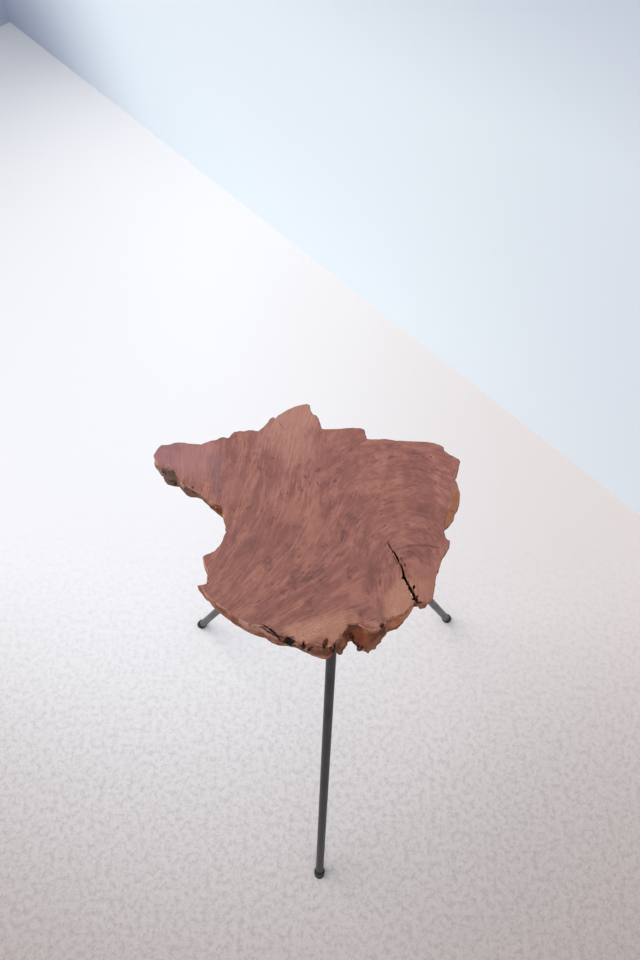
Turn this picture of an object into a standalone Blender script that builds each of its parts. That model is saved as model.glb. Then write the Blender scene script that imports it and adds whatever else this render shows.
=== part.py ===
# Side table: a slice of tree root with its natural edge, carried by three splayed
# steel rods that are welded to one round plate and screwed up into the wood.
#
# Metres, +Z up, floor at Z = 0. The front leg points along -Y and the slab's long
# tongue along -X. The origin is the middle of the footprint's box.

import math

import bmesh
import bpy
from mathutils import Matrix, Vector

# Gap kept between pieces that touch, how far a cutter runs past what it cuts, and how
# near two points lie to be one
GAP = 0.0003
OVERRUN = 0.004
MERGE = GAP / 10

# Slab
TABLE_HEIGHT = 0.602
SLAB_THICKNESS = 0.032
SLAB_WIDTH = 0.260
SLAB_DEPTH = 0.226
SLAB_EASE = 0.0008
SLAB_BELLY_SHARE = 0.05
SLAB_RIPPLE = 0.0007
RIPPLE_POINT_TURN = 1.9
RIPPLE_RING_TURN = 2.3

# Where the tripod's axis stands under the slab, as shares of its width and depth
AXIS_X_SHARE = 0.608
AXIS_Y_SHARE = 0.531

# Tripod
ROD_RADIUS = 0.005
ROD_TOP_REACH = 0.016
PLATE_RADIUS = 0.042
PLATE_THICKNESS = 0.004
PLATE_EASE = 0.0005
BEAD_SIZE = 0.0032

# How far from the axis each foot stands, and its bearing in degrees
FRONT_REACH = 0.218
RIGHT_REACH = 0.227
LEFT_REACH = 0.228
LEGS = {
    "front": (-92.5, FRONT_REACH),
    "right": (37.2, RIGHT_REACH),
    "left": (147.5, LEFT_REACH),
}

# Rubber foot caps
CAP_WALL = 0.0014
CAP_FLOOR = 0.0034
CAP_HEIGHT = 0.0076
CAP_EASE = 0.0005

# Countersunk wood screws up through the plate, their bearings in degrees, and the
# wood that is left over their points
SCREW_CIRCLE = 0.031
SCREW_RADIUS = 0.002
SCREW_HEAD_RADIUS = 0.004
SCREW_HEAD_LIP = 0.0004
SCREW_COVER = 0.0113
SCREW_POINT = 0.005
SCREW_RECESS_WIDTH = 0.001
SCREW_RECESS_SPAN = 0.0044
SCREW_RECESS_DEPTH = 0.0014
SCREW_TURNS = {"front_right": -27.5, "back": 92.0, "front_left": 207.5}
PILOT_SPARE = 0.001

# The slab's top edge, clockwise from the tip of the tongue as seen from above.
# Each row is x as a share of the width, y as a share of the depth, and how far the
# underside stands out past the top (or, below zero, in under it) as a share of the
# thickness.
OUTLINE_SHARES = [
    # End and back of the tongue
    (0.001, 0.752, -0.10), (0.006, 0.768, -0.10), (0.012, 0.783, -0.12), (0.023, 0.795, -0.12),
    (0.047, 0.799, -0.15), (0.062, 0.807, -0.15), (0.084, 0.810, -0.15), (0.115, 0.806, -0.12),
    (0.153, 0.802, -0.12), (0.166, 0.811, -0.10), (0.182, 0.819, -0.10), (0.203, 0.825, -0.12),
    (0.212, 0.833, -0.12), (0.225, 0.837, -0.15), (0.242, 0.833, -0.18), (0.250, 0.850, -0.15),
    (0.260, 0.862, -0.12), (0.276, 0.865, -0.12), (0.291, 0.863, -0.15), (0.306, 0.869, -0.15),
    (0.322, 0.871, -0.15), (0.338, 0.866, -0.20),
    # Peak at the back, with a small check in its left shoulder
    (0.350, 0.879, -0.20), (0.364, 0.902, -0.15), (0.378, 0.925, -0.12), (0.386, 0.932, -0.12),
    (0.393, 0.925, -0.15), (0.402, 0.940, -0.12), (0.420, 0.957, -0.10), (0.440, 0.972, -0.10),
    (0.460, 0.985, -0.12), (0.480, 0.993, -0.12), (0.498, 0.998, -0.15), (0.508, 0.990, -0.15),
    (0.513, 0.967, -0.12), (0.519, 0.948, -0.12), (0.530, 0.942, -0.10), (0.538, 0.928, -0.10),
    (0.546, 0.905, -0.12), (0.552, 0.883, -0.18),
    # Step at the back
    (0.562, 0.880, -0.20), (0.602, 0.882, -0.20), (0.645, 0.886, -0.18), (0.680, 0.888, -0.15),
    (0.692, 0.880, -0.15), (0.696, 0.860, -0.15), (0.699, 0.838, -0.20),
    # Back edge to the right-hand corner
    (0.722, 0.836, -0.22), (0.760, 0.840, -0.20), (0.782, 0.836, -0.18), (0.802, 0.831, -0.18),
    (0.850, 0.831, -0.15), (0.890, 0.829, -0.12), (0.925, 0.821, -0.10), (0.946, 0.812, -0.08),
    (0.953, 0.803, -0.08), (0.954, 0.788, -0.10), (0.970, 0.771, -0.08), (0.999, 0.753, -0.05),
    # Right side, where the underside swells out past the top
    (1.003, 0.742, -0.05), (0.994, 0.713, -0.05), (0.983, 0.684, -0.02), (0.978, 0.667, 0.06),
    (0.987, 0.653, 0.14), (0.989, 0.632, 0.18), (0.981, 0.614, 0.20), (0.971, 0.596, 0.20),
    (0.966, 0.570, 0.18), (0.956, 0.545, 0.14), (0.945, 0.520, 0.09), (0.940, 0.492, 0.02),
    (0.934, 0.455, -0.05), (0.937, 0.428, -0.10), (0.943, 0.416, -0.10), (0.952, 0.409, -0.12),
    (0.949, 0.396, -0.12), (0.931, 0.363, -0.12), (0.921, 0.333, -0.10), (0.910, 0.299, -0.10),
    # Lobe beside the long crack
    (0.901, 0.272, -0.12), (0.898, 0.242, -0.15), (0.891, 0.207, -0.18), (0.886, 0.187, -0.22),
    (0.875, 0.179, -0.26), (0.860, 0.177, -0.27), (0.846, 0.178, -0.26), (0.835, 0.179, -0.16),
    (0.823, 0.165, -0.08), (0.812, 0.147, -0.05), (0.800, 0.132, -0.05), (0.785, 0.124, -0.03),
    # Bite at the front, open wider at the top than below
    (0.770, 0.118, -0.03), (0.758, 0.106, -0.06), (0.746, 0.100, 0.00), (0.735, 0.091, 0.08),
    (0.722, 0.078, 0.08), (0.706, 0.070, 0.10), (0.690, 0.072, 0.14), (0.676, 0.082, 0.18),
    (0.661, 0.092, 0.15), (0.649, 0.096, 0.12), (0.638, 0.093, 0.10), (0.631, 0.080, 0.05),
    (0.621, 0.063, 0.09), (0.609, 0.046, 0.06), (0.600, 0.030, -0.08), (0.591, 0.018, -0.05),
    # Front lip and the long sweep to the left-hand barb
    (0.578, 0.012, -0.02), (0.556, 0.014, -0.03), (0.530, 0.021, -0.06), (0.503, 0.026, -0.11),
    (0.477, 0.033, -0.17), (0.447, 0.040, -0.16), (0.425, 0.051, -0.09), (0.405, 0.066, -0.05),
    (0.387, 0.080, -0.06), (0.365, 0.083, -0.08), (0.340, 0.088, -0.12), (0.315, 0.104, -0.11),
    (0.290, 0.124, -0.10), (0.262, 0.146, -0.10), (0.236, 0.165, -0.12), (0.215, 0.187, -0.15),
    (0.200, 0.207, -0.15), (0.184, 0.225, -0.15),
    # Left side and the bay
    (0.205, 0.230, -0.15), (0.216, 0.238, -0.12), (0.210, 0.249, -0.10), (0.211, 0.276, -0.10),
    (0.204, 0.290, -0.10), (0.199, 0.303, -0.12), (0.193, 0.333, -0.14), (0.201, 0.342, -0.14),
    (0.214, 0.351, -0.12), (0.228, 0.360, -0.12), (0.243, 0.381, -0.10), (0.249, 0.400, -0.10),
    (0.258, 0.440, -0.10), (0.255, 0.455, -0.10), (0.249, 0.473, -0.10), (0.243, 0.500, -0.12),
    # Front of the tongue
    (0.239, 0.525, -0.12), (0.232, 0.537, -0.12), (0.212, 0.546, -0.17), (0.200, 0.556, -0.18),
    (0.184, 0.566, -0.21), (0.168, 0.577, -0.26), (0.152, 0.591, -0.30), (0.140, 0.603, -0.30),
    (0.118, 0.618, -0.26), (0.102, 0.629, -0.18), (0.092, 0.645, -0.12), (0.082, 0.664, -0.09),
    (0.073, 0.684, -0.07), (0.052, 0.689, -0.05), (0.031, 0.695, -0.06), (0.018, 0.708, -0.08),
    (0.009, 0.722, -0.10), (0.003, 0.737, -0.10),
]

# How far down the thickness each ring of the slab's side lies
LEVEL_SHARES = (0.25, 0.5, 0.75)

# Cracks, from the inner end out past the edge: x and y as shares of the width and
# depth, the opening as a share of the crack's widest, the depth as a share of the
# thickness.
LONG_CRACK_WIDTH = 0.0030
LONG_CRACK_SHARES = [
    (0.757, 0.405, 0.12, 0.15), (0.763, 0.385, 0.30, 0.30), (0.771, 0.368, 0.34, 0.40),
    (0.779, 0.355, 0.62, 0.50), (0.784, 0.340, 0.55, 0.55), (0.790, 0.322, 0.35, 0.60),
    (0.797, 0.308, 0.52, 0.65), (0.801, 0.290, 0.66, 0.70), (0.803, 0.270, 0.82, 0.80),
    (0.810, 0.250, 0.72, 0.90), (0.818, 0.232, 0.65, 0.95), (0.825, 0.214, 0.92, 1.20),
    (0.832, 0.196, 0.74, 1.20), (0.839, 0.178, 0.92, 1.20), (0.848, 0.150, 1.00, 1.20),
]
EDGE_CRACK_WIDTH = 0.0060
EDGE_CRACK_SHARES = [
    (0.385, 0.087, 0.10, 0.10), (0.396, 0.080, 0.26, 0.20), (0.409, 0.069, 0.34, 0.28),
    (0.421, 0.058, 0.32, 0.32), (0.433, 0.049, 0.28, 0.36), (0.446, 0.043, 0.45, 0.40),
    (0.458, 0.037, 0.85, 0.45), (0.470, 0.026, 1.00, 0.45), (0.478, 0.000, 1.00, 0.45),
]
CRACK_FOOT_SHARE = 0.3

# Worm holes and pits in the top edge: the turn in degrees, x and y as shares of the
# slab's width and depth, then length, width and depth as shares of the largest pit's
PIT_LENGTH = 0.009
PIT_WIDTH = 0.0034
PIT_DEPTH = 0.012
PIT_SHARES = [
    (65, 0.503, 0.021, 0.70, 0.65, 0.60),
    (60, 0.521, 0.014, 0.55, 0.55, 0.65),
    (68, 0.568, 0.024, 1.00, 1.00, 0.50),
    (80, 0.597, 0.020, 0.45, 0.75, 1.00),
    (30, 0.733, 0.090, 0.45, 0.90, 0.40),
]

# Facets round each kind of turned piece and pit, and the angle that still looks round
SMOOTH_DEGREES = 35
BEAD_STEPS = 5
ROD_SIDES = 32
PLATE_SIDES = 96
SCREW_SIDES = 24
PIT_SIDES = 10

# Heights that follow from the sizes above
PLATE_TOP = TABLE_HEIGHT - SLAB_THICKNESS - GAP
PLATE_FACE = PLATE_TOP - PLATE_THICKNESS
SCREW_LENGTH = TABLE_HEIGHT - SCREW_COVER - PLATE_FACE


def clear_scene():
    for thing in list(bpy.data.objects):
        bpy.data.objects.remove(thing, do_unlink=True)


def add_collection(name):
    collection = bpy.data.collections.new(name)
    bpy.context.scene.collection.children.link(collection)
    return collection


def add_object(name, data, collection, parent, location=(0, 0, 0), rotation=(0, 0, 0)):
    thing = bpy.data.objects.new(name, data)
    collection.objects.link(thing)
    thing.parent = parent
    thing.location = location
    thing.rotation_euler = rotation
    return thing


def finish_mesh(name, work):
    mesh = bpy.data.meshes.new(name)
    bmesh.ops.recalc_face_normals(work, faces=work.faces)
    work.to_mesh(mesh)
    work.free()
    return mesh


def take_round_mesh(name, holder):
    """The evaluated shape of a turned or swept object, welded and shaded smooth."""
    bpy.context.scene.collection.objects.link(holder)
    graph = bpy.context.evaluated_depsgraph_get()
    graph.update()
    evaluated = bpy.data.meshes.new_from_object(holder.evaluated_get(graph))
    bpy.data.objects.remove(holder, do_unlink=True)
    work = bmesh.new()
    work.from_mesh(evaluated)
    bpy.data.meshes.remove(evaluated)
    bmesh.ops.remove_doubles(work, verts=work.verts, dist=MERGE)
    mesh = finish_mesh(name, work)
    mesh.shade_smooth()
    mesh.set_sharp_from_angle(angle=math.radians(SMOOTH_DEGREES))
    return mesh


def make_cutter(thing):
    thing.hide_render = True
    thing.display_type = "WIRE"
    return thing


def cut(piece, cutter):
    boolean = piece.modifiers.new("cut_by_" + cutter.name, "BOOLEAN")
    boolean.operation = "DIFFERENCE"
    boolean.solver = "EXACT"
    boolean.object = cutter


def paint(piece, colour, roughness, metallic):
    material = bpy.data.materials.new(piece.name)
    material.use_nodes = True
    shader = material.node_tree.nodes["Principled BSDF"]
    shader.inputs["Base Color"].default_value = (*colour, 1.0)
    shader.inputs["Roughness"].default_value = roughness
    shader.inputs["Metallic"].default_value = metallic
    piece.data.materials.clear()
    piece.data.materials.append(material)


def paint_wood(piece):
    paint(piece, (0.34, 0.14, 0.10), 0.45, 0.0)


def paint_black_steel(piece):
    paint(piece, (0.028, 0.030, 0.032), 0.42, 0.6)


def paint_zinc(piece):
    paint(piece, (0.52, 0.52, 0.54), 0.35, 1.0)


def paint_rubber(piece):
    paint(piece, (0.016, 0.016, 0.017), 0.75, 0.0)


def turned_mesh(name, profile, sides, closed_profile=False):
    """A profile of (radius, height) points turned about the Z axis."""
    points = bpy.data.meshes.new(name)
    edges = [(i, i + 1) for i in range(len(profile) - 1)]
    if closed_profile:
        edges.append((len(profile) - 1, 0))
    points.from_pydata([(radius, 0, height) for radius, height in profile], edges, [])
    holder = bpy.data.objects.new(name, points)
    screw = holder.modifiers.new("turn", "SCREW")
    screw.axis = "Z"
    screw.steps = sides
    screw.render_steps = sides
    screw.use_merge_vertices = True
    screw.merge_threshold = MERGE
    mesh = take_round_mesh(name, holder)
    bpy.data.meshes.remove(points)
    return mesh


def rod_mesh(name, start, end):
    """A round bar along Z, from a curve with filled caps."""
    curve = bpy.data.curves.new(name, "CURVE")
    curve.dimensions = "3D"
    curve.bevel_depth = ROD_RADIUS
    curve.bevel_resolution = ROD_SIDES // 2 - 2
    curve.use_fill_caps = True
    spline = curve.splines.new("POLY")
    spline.points.add(1)
    spline.points[0].co = (0, 0, start, 1)
    spline.points[1].co = (0, 0, end, 1)
    mesh = take_round_mesh(name, bpy.data.objects.new(name, curve))
    bpy.data.curves.remove(curve)
    return mesh


def slab_point(x_share, y_share):
    """A place on the slab, from the tripod's axis."""
    return Vector(((x_share - AXIS_X_SHARE) * SLAB_WIDTH, (y_share - AXIS_Y_SHARE) * SLAB_DEPTH))


def outward_normals(points):
    """Outward direction at each point, averaged over two neighbours each way."""
    count = len(points)
    normals = []
    for i in range(count):
        along = points[(i + 2) % count] - points[i - 2]
        normals.append(Vector((-along.y, along.x)).normalized())
    return normals


def slab_rings():
    """Outlines of the slab from its top face to its underside, as lists of 3-D points."""
    points = [slab_point(x, y) for x, y, lean in OUTLINE_SHARES]
    normals = outward_normals(points)
    leans = [lean * SLAB_THICKNESS for x, y, lean in OUTLINE_SHARES]
    ease_share = SLAB_EASE / SLAB_THICKNESS
    levels = [0.0, ease_share, *LEVEL_SHARES, 1 - ease_share, 1.0]
    rings = []
    for order, level in enumerate(levels):
        inset = SLAB_EASE if level in (0.0, 1.0) else 0.0
        belly = SLAB_BELLY_SHARE * SLAB_THICKNESS * math.sin(math.pi * level)
        ring = []
        for i, point in enumerate(points):
            turn = i * RIPPLE_POINT_TURN + order * RIPPLE_RING_TURN
            ripple = SLAB_RIPPLE * math.sin(turn) * math.sin(math.pi * level)
            offset = leans[i] * level + belly + ripple - inset
            place = point + normals[i] * offset
            ring.append((place.x, place.y, -level * SLAB_THICKNESS))
        rings.append(ring)
    return rings


def loft_mesh(name, rings):
    """A closed skin over a stack of rings with as many points each."""
    work = bmesh.new()
    loops = [[work.verts.new(point) for point in ring] for ring in rings]
    count = len(loops[0])
    for first, second in zip(loops, loops[1:]):
        for i in range(count):
            j = (i + 1) % count
            work.faces.new((first[i], first[j], second[j], second[i]))
    work.faces.new(loops[0])
    work.faces.new(loops[-1])
    return finish_mesh(name, work)


def build_slab(parts, cutters, axis):
    mesh = loft_mesh("slab_top", slab_rings())
    slab = add_object("slab_top", mesh, parts, axis, (0, 0, TABLE_HEIGHT))
    paint_wood(slab)
    cut(slab, crack_cutter("long_crack", LONG_CRACK_SHARES, LONG_CRACK_WIDTH, cutters, axis))
    cut(slab, crack_cutter("edge_crack", EDGE_CRACK_SHARES, EDGE_CRACK_WIDTH, cutters, axis))
    for number, (turn, *shares) in enumerate(PIT_SHARES, 1):
        cut(slab, pit_cutter("pit_%d" % number, turn, shares, cutters, axis))
    return slab


def crack_cutter(name, shares, width, cutters, axis):
    """A wedge that follows a crack and narrows towards its foot."""
    points = [slab_point(x, y) for x, y, opening, depth in shares]
    sections = []
    for i, (x, y, opening, depth) in enumerate(shares):
        along = (points[min(i + 1, len(points) - 1)] - points[max(i - 1, 0)]).normalized()
        side = Vector((-along.y, along.x)) * width * opening / 2
        foot = side * CRACK_FOOT_SHARE
        mouth = [(*(points[i] + side), OVERRUN), (*(points[i] - side), OVERRUN)]
        bottom = -depth * SLAB_THICKNESS
        sections.append([*mouth, (*(points[i] - foot), bottom), (*(points[i] + foot), bottom)])
    mesh = loft_mesh(name, sections)
    return make_cutter(add_object(name, mesh, cutters, axis, (0, 0, TABLE_HEIGHT)))


def pit_cutter(name, turn, shares, cutters, axis):
    x, y, length, width, depth = shares
    reach = (length * PIT_LENGTH / 2, width * PIT_WIDTH / 2, depth * PIT_DEPTH)
    work = bmesh.new()
    bmesh.ops.create_uvsphere(work, u_segments=PIT_SIDES, v_segments=PIT_SIDES // 2 + 1, radius=1)
    bmesh.ops.scale(work, vec=reach, verts=work.verts)
    place = (*slab_point(x, y), TABLE_HEIGHT)
    mesh = finish_mesh(name, work)
    return make_cutter(add_object(name, mesh, cutters, axis, place, (0, 0, math.radians(turn))))


def leg_tilt(reach):
    """How far a leg leans from upright, from its foot's reach."""
    return math.atan2(reach - ROD_TOP_REACH, PLATE_FACE)


def polar(bearing, reach):
    turn = math.radians(bearing)
    return Vector((reach * math.cos(turn), reach * math.sin(turn)))


def foot_edge(bearing, reach, direction):
    """How far a foot cap's print on the floor reaches from the axis along a direction."""
    radius = ROD_RADIUS + GAP + CAP_WALL
    along = polar(bearing, 1).dot(direction)
    across = polar(bearing + 90, 1).dot(direction)
    print_half = math.hypot(radius / math.cos(leg_tilt(reach)) * along, radius * across)
    return reach * along + print_half


def axis_place():
    """Where the tripod's axis stands, so that the origin is mid-way in the footprint's box."""
    middle = []
    for direction in (Vector((1, 0)), Vector((0, 1))):
        high = max(foot_edge(*leg, direction) for leg in LEGS.values())
        low = -max(foot_edge(*leg, -direction) for leg in LEGS.values())
        middle.append(-(high + low) / 2)
    return (*middle, 0)


def box_cutter(name, low, high, cutters, axis):
    work = bmesh.new()
    bmesh.ops.create_cube(work, size=1)
    span = 2 * max(reach for bearing, reach in LEGS.values()) + 2 * SLAB_WIDTH
    bmesh.ops.scale(work, vec=(span, span, high - low), verts=work.verts)
    return make_cutter(add_object(name, finish_mesh(name, work), cutters, axis, (0, 0, (low + high) / 2)))


def build_leg(name, bearing, reach, above_plate, parts, axis):
    tilt = leg_tilt(reach)
    length = math.hypot(reach - ROD_TOP_REACH, PLATE_FACE)
    mesh = rod_mesh("leg_" + name, CAP_FLOOR + GAP, length + OVERRUN)
    place = (*polar(bearing, reach), 0)
    leg = add_object("leg_" + name, mesh, parts, axis, place, (0, -tilt, math.radians(bearing)))
    paint_black_steel(leg)
    cut(leg, above_plate)


def build_cap(name, bearing, reach, below_floor, parts, axis):
    tilt = leg_tilt(reach)
    bore = ROD_RADIUS + GAP
    outer = bore + CAP_WALL
    profile = [
        (outer - CAP_EASE, CAP_HEIGHT),
        (outer, CAP_HEIGHT - CAP_EASE),
        (outer, -outer),
        (0, -outer),
        (0, CAP_FLOOR),
        (bore, CAP_FLOOR),
        (bore, CAP_HEIGHT),
    ]
    mesh = turned_mesh("foot_cap_" + name, profile, ROD_SIDES, closed_profile=True)
    place = (*polar(bearing, reach), 0)
    cap = add_object("foot_cap_" + name, mesh, parts, axis, place, (0, -tilt, math.radians(bearing)))
    paint_rubber(cap)
    cut(cap, below_floor)


def build_weld(name, bearing, reach, parts, axis):
    """The fillet bead round a rod's mitred end, sheared to follow the rod's lean."""
    inner = ROD_RADIUS + GAP
    profile = [(inner + BEAD_SIZE, -GAP)]
    for step in range(1, BEAD_STEPS):
        turn = math.pi / 2 * step / BEAD_STEPS
        profile.append((inner + BEAD_SIZE * math.cos(turn), -GAP - BEAD_SIZE * math.sin(turn)))
    profile += [(inner, -GAP - BEAD_SIZE), (inner, -GAP)]
    mesh = turned_mesh("weld_" + name, profile, ROD_SIDES, closed_profile=True)
    tilt = leg_tilt(reach)
    lean = Matrix.Identity(4)
    lean[0][0] = 1 / math.cos(tilt)
    lean[0][2] = -math.tan(tilt)
    mesh.transform(lean)
    place = (*polar(bearing, ROD_TOP_REACH), PLATE_FACE)
    weld = add_object("weld_" + name, mesh, parts, axis, place, (0, 0, math.radians(bearing)))
    paint_black_steel(weld)


def build_plate(parts, axis):
    profile = [
        (0, 0),
        (PLATE_RADIUS - PLATE_EASE, 0),
        (PLATE_RADIUS, -PLATE_EASE),
        (PLATE_RADIUS, -PLATE_THICKNESS + PLATE_EASE),
        (PLATE_RADIUS - PLATE_EASE, -PLATE_THICKNESS),
        (0, -PLATE_THICKNESS),
    ]
    mesh = turned_mesh("mounting_plate", profile, PLATE_SIDES)
    plate = add_object("mounting_plate", mesh, parts, axis, (0, 0, PLATE_TOP))
    paint_black_steel(plate)
    return plate


def screw_profile(clearance, length):
    """Half section of a countersunk screw, from its head's face up to its point."""
    head = SCREW_HEAD_RADIUS + clearance
    shank = SCREW_RADIUS + clearance
    cone = SCREW_HEAD_LIP + head - shank
    return [(0, 0), (head, 0), (head, SCREW_HEAD_LIP), (shank, cone), (shank, length)]


def build_screw(name, bearing, plate, slab, parts, cutters, axis):
    place = (*polar(bearing, SCREW_CIRCLE), PLATE_FACE)
    profile = screw_profile(0, SCREW_LENGTH - SCREW_POINT) + [(0, SCREW_LENGTH)]
    mesh = turned_mesh("screw_" + name, profile, SCREW_SIDES)
    screw = add_object("screw_" + name, mesh, parts, axis, place, (0, 0, math.radians(bearing)))
    paint_zinc(screw)
    for turn in (0, 90):
        cut(screw, recess_cutter("recess_%s_%d" % (name, turn), place, bearing + turn, cutters, axis))
    hole = screw_profile(GAP, SCREW_LENGTH + PILOT_SPARE) + [(0, SCREW_LENGTH + PILOT_SPARE)]
    hole[0] = (0, -OVERRUN)
    hole[1] = (SCREW_HEAD_RADIUS + GAP, -OVERRUN)
    mesh = turned_mesh("screw_hole_" + name, hole, SCREW_SIDES)
    cutter = make_cutter(add_object("screw_hole_" + name, mesh, cutters, axis, place))
    cut(plate, cutter)
    cut(slab, cutter)


def recess_cutter(name, place, turn, cutters, axis):
    work = bmesh.new()
    bmesh.ops.create_cube(work, size=1)
    height = 2 * SCREW_RECESS_DEPTH
    bmesh.ops.scale(work, vec=(SCREW_RECESS_SPAN, SCREW_RECESS_WIDTH, height), verts=work.verts)
    mesh = finish_mesh(name, work)
    return make_cutter(add_object(name, mesh, cutters, axis, place, (0, 0, math.radians(turn))))


def build_table():
    clear_scene()
    parts = add_collection("side_table")
    cutters = add_collection("cutters")
    axis = add_object("tripod_axis", None, parts, None, axis_place())
    slab = build_slab(parts, cutters, axis)
    plate = build_plate(parts, axis)
    above_plate = box_cutter("above_plate", PLATE_FACE - GAP, TABLE_HEIGHT, cutters, axis)
    below_floor = box_cutter("below_floor", -TABLE_HEIGHT, 0, cutters, axis)
    for name, (bearing, reach) in LEGS.items():
        build_leg(name, bearing, reach, above_plate, parts, axis)
        build_weld(name, bearing, reach, parts, axis)
        build_cap(name, bearing, reach, below_floor, parts, axis)
    for name, bearing in SCREW_TURNS.items():
        build_screw(name, bearing, plate, slab, parts, cutters, axis)


build_table()
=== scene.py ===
# The side table as it looks in use: a slice of root wood with its natural edge, on three
# splayed rods of blackened steel with rubber feet, standing on a pale carpet by a wall.

import math

import bmesh
import bpy
from mathutils import Matrix, Vector, noise
from mathutils.bvhtree import BVHTree
from mathutils.geometry import normal


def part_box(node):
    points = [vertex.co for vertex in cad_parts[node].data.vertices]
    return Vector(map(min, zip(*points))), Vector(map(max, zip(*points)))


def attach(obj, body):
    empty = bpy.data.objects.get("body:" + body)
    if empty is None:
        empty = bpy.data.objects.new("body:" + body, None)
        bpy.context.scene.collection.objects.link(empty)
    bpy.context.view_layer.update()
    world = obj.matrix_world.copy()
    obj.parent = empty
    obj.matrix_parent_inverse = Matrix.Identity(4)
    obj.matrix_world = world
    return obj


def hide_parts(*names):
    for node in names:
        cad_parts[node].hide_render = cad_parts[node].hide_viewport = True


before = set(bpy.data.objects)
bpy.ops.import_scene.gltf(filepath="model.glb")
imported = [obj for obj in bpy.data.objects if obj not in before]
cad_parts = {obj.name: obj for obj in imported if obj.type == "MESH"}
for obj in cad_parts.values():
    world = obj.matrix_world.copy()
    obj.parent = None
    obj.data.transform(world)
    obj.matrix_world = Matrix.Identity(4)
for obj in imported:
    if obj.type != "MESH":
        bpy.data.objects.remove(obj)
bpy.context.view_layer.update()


# The slab
# One slice of root wood, sawn and sanded flat on both faces, with the edge left as it
# grew. It is oiled to a satin finish, lies on the steel plate, and three screws hold it.

slab_low, slab_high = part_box("slab_top")
slab_size = slab_high - slab_low
plate_low, plate_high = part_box("mounting_plate")
tripod_axis = (plate_low + plate_high) / 2

# How near two points lie to be one, how thin a triangle may be, how far a cutter runs
# past what it cuts, how fine the mesh is along the edge and where the face dips, and how
# often its lines along the edge are halved at most
MERGE = 0.00001
SLIVER = 0.00005
OVERRUN = 0.004
EDGE_STEP = 0.0014
DIP_STEP = 0.0025
HALVINGS = 5

# How far from the tripod's axis the wood stays plain to seat the plate, the angle of a
# crease in degrees, how upright a side is, and how level, flat and near its plane a
# sanded face is
PLATE_SURROUND = 0.044
CREASE = 38
SIDE_TILT = 0.2
SANDED_TILT = 0.8
FLAT_TILT = 0.9999
SANDED_DEPTH = 0.0024

# How deep and how wide the fibres, hollows and splinters of the natural edge are, how
# much each is drawn out along the wood's upright grain, the share of their depth by
# which hollows and splinters are set back, and how far the relief may stand proud
FIBRE_DEPTH = 0.0005
FIBRE_WIDTH = 0.0026
FIBRE_DRAW = 0.14
HOLLOW_DEPTH = 0.0010
HOLLOW_WIDTH = 0.009
HOLLOW_DRAW = 0.6
SPLINTER_DEPTH = 0.0022
SPLINTER_WIDTH = 0.0065
SPLINTER_DRAW = 0.4
SPLINTER_STEPS = 4
SETBACK_SHARE = 0.2
PROUD_LIMIT = 0.0003

# How much of the relief is left at the rim, over what depth it would grow from nothing
# to whole, how steeply scoops, teeth and dips fall off, how high the teeth are, and from
# what height up the dips take points down
RIM_SHARE = 0.4
RIM_DEPTH = 0.0025
SCOOP_FALL = 2.0
TOOTH_FALL = 1.5
DIP_FALL = 1.6
TOOTH_HEIGHT_SHARE = 0.04
DIP_HEIGHT_SHARE = 0.8

# What keeps a crack open: how far off one wall the look for the other starts, how far it
# reaches, and the share of the room found that a move may take
WALL_CLEARANCE = 0.0002
OPENING_LIMIT = 0.006
OPENING_SHARE = 0.3

# What keeps the mesh from folding over: how often it is looked through, how much of its
# direction a face must keep, and the share of a move that stays where it doesn't
UNFOLD_PASSES = 4
FOLD_LIMIT = 0.2
FOLDED_MOVE_SHARE = 0.3

# Fine checks beside the large cracks: the share of its width that each has left at its
# ends, then how wide and deep it is and the places along it as shares of the slab's box
TIP_SHARE = 1 / 3
HAIR_CRACK_SHARES = {
    "sliver_left": (0.0006, 0.003, [(0.766, 0.345), (0.771, 0.329), (0.776, 0.319), (0.781, 0.311)]),
    "sliver_right": (0.0007, 0.003, [(0.788, 0.335), (0.791, 0.327), (0.796, 0.317), (0.801, 0.307)]),
    "spur": (0.0012, 0.008, [(0.824, 0.232), (0.822, 0.222), (0.817, 0.208)]),
    "front_upper": (0.0012, 0.004, [(0.379, 0.079), (0.399, 0.067), (0.424, 0.049), (0.436, 0.038)]),
    "front_lower": (0.0011, 0.004, [(0.398, 0.064), (0.405, 0.053), (0.430, 0.032), (0.446, 0.022)]),
    "front_bridge": (0.0008, 0.003, [(0.410, 0.060), (0.414, 0.052), (0.420, 0.043)]),
    "back_check": (0.0005, 0.002, [(0.395, 0.925), (0.403, 0.908), (0.412, 0.888), (0.428, 0.866)]),
}

# Broken places where the sanded face dips to the edge: x and y as shares of the slab's
# box, then the reach as a share of its width and the depth as one of its thickness
DIP_SHARES = [
    (0.690, 0.105, 0.050, 0.070),
    (0.650, 0.105, 0.030, 0.045),
    (0.742, 0.118, 0.035, 0.040),
    (0.560, 0.020, 0.035, 0.030),
    (0.450, 0.035, 0.030, 0.060),
    (0.045, 0.690, 0.020, 0.040),
]

# Where the natural edge is torn rather than grown: x and y as shares of the slab's box,
# the reach as a share of its width, and how many times rougher it gets
TORN_SHARES = [
    (0.640, 0.060, 0.080, 1.2),
    (0.720, 0.080, 0.070, 1.6),
    (0.780, 0.120, 0.060, 1.0),
    (0.590, 0.010, 0.050, 1.2),
    (0.460, 0.020, 0.080, 1.2),
    (0.300, 0.110, 0.120, 0.4),
    (0.080, 0.640, 0.100, 1.4),
    (0.010, 0.740, 0.050, 1.2),
    (0.190, 0.560, 0.070, 1.0),
    (0.800, 0.300, 0.100, 2.0),
    (0.985, 0.600, 0.060, 0.6),
]

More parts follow.
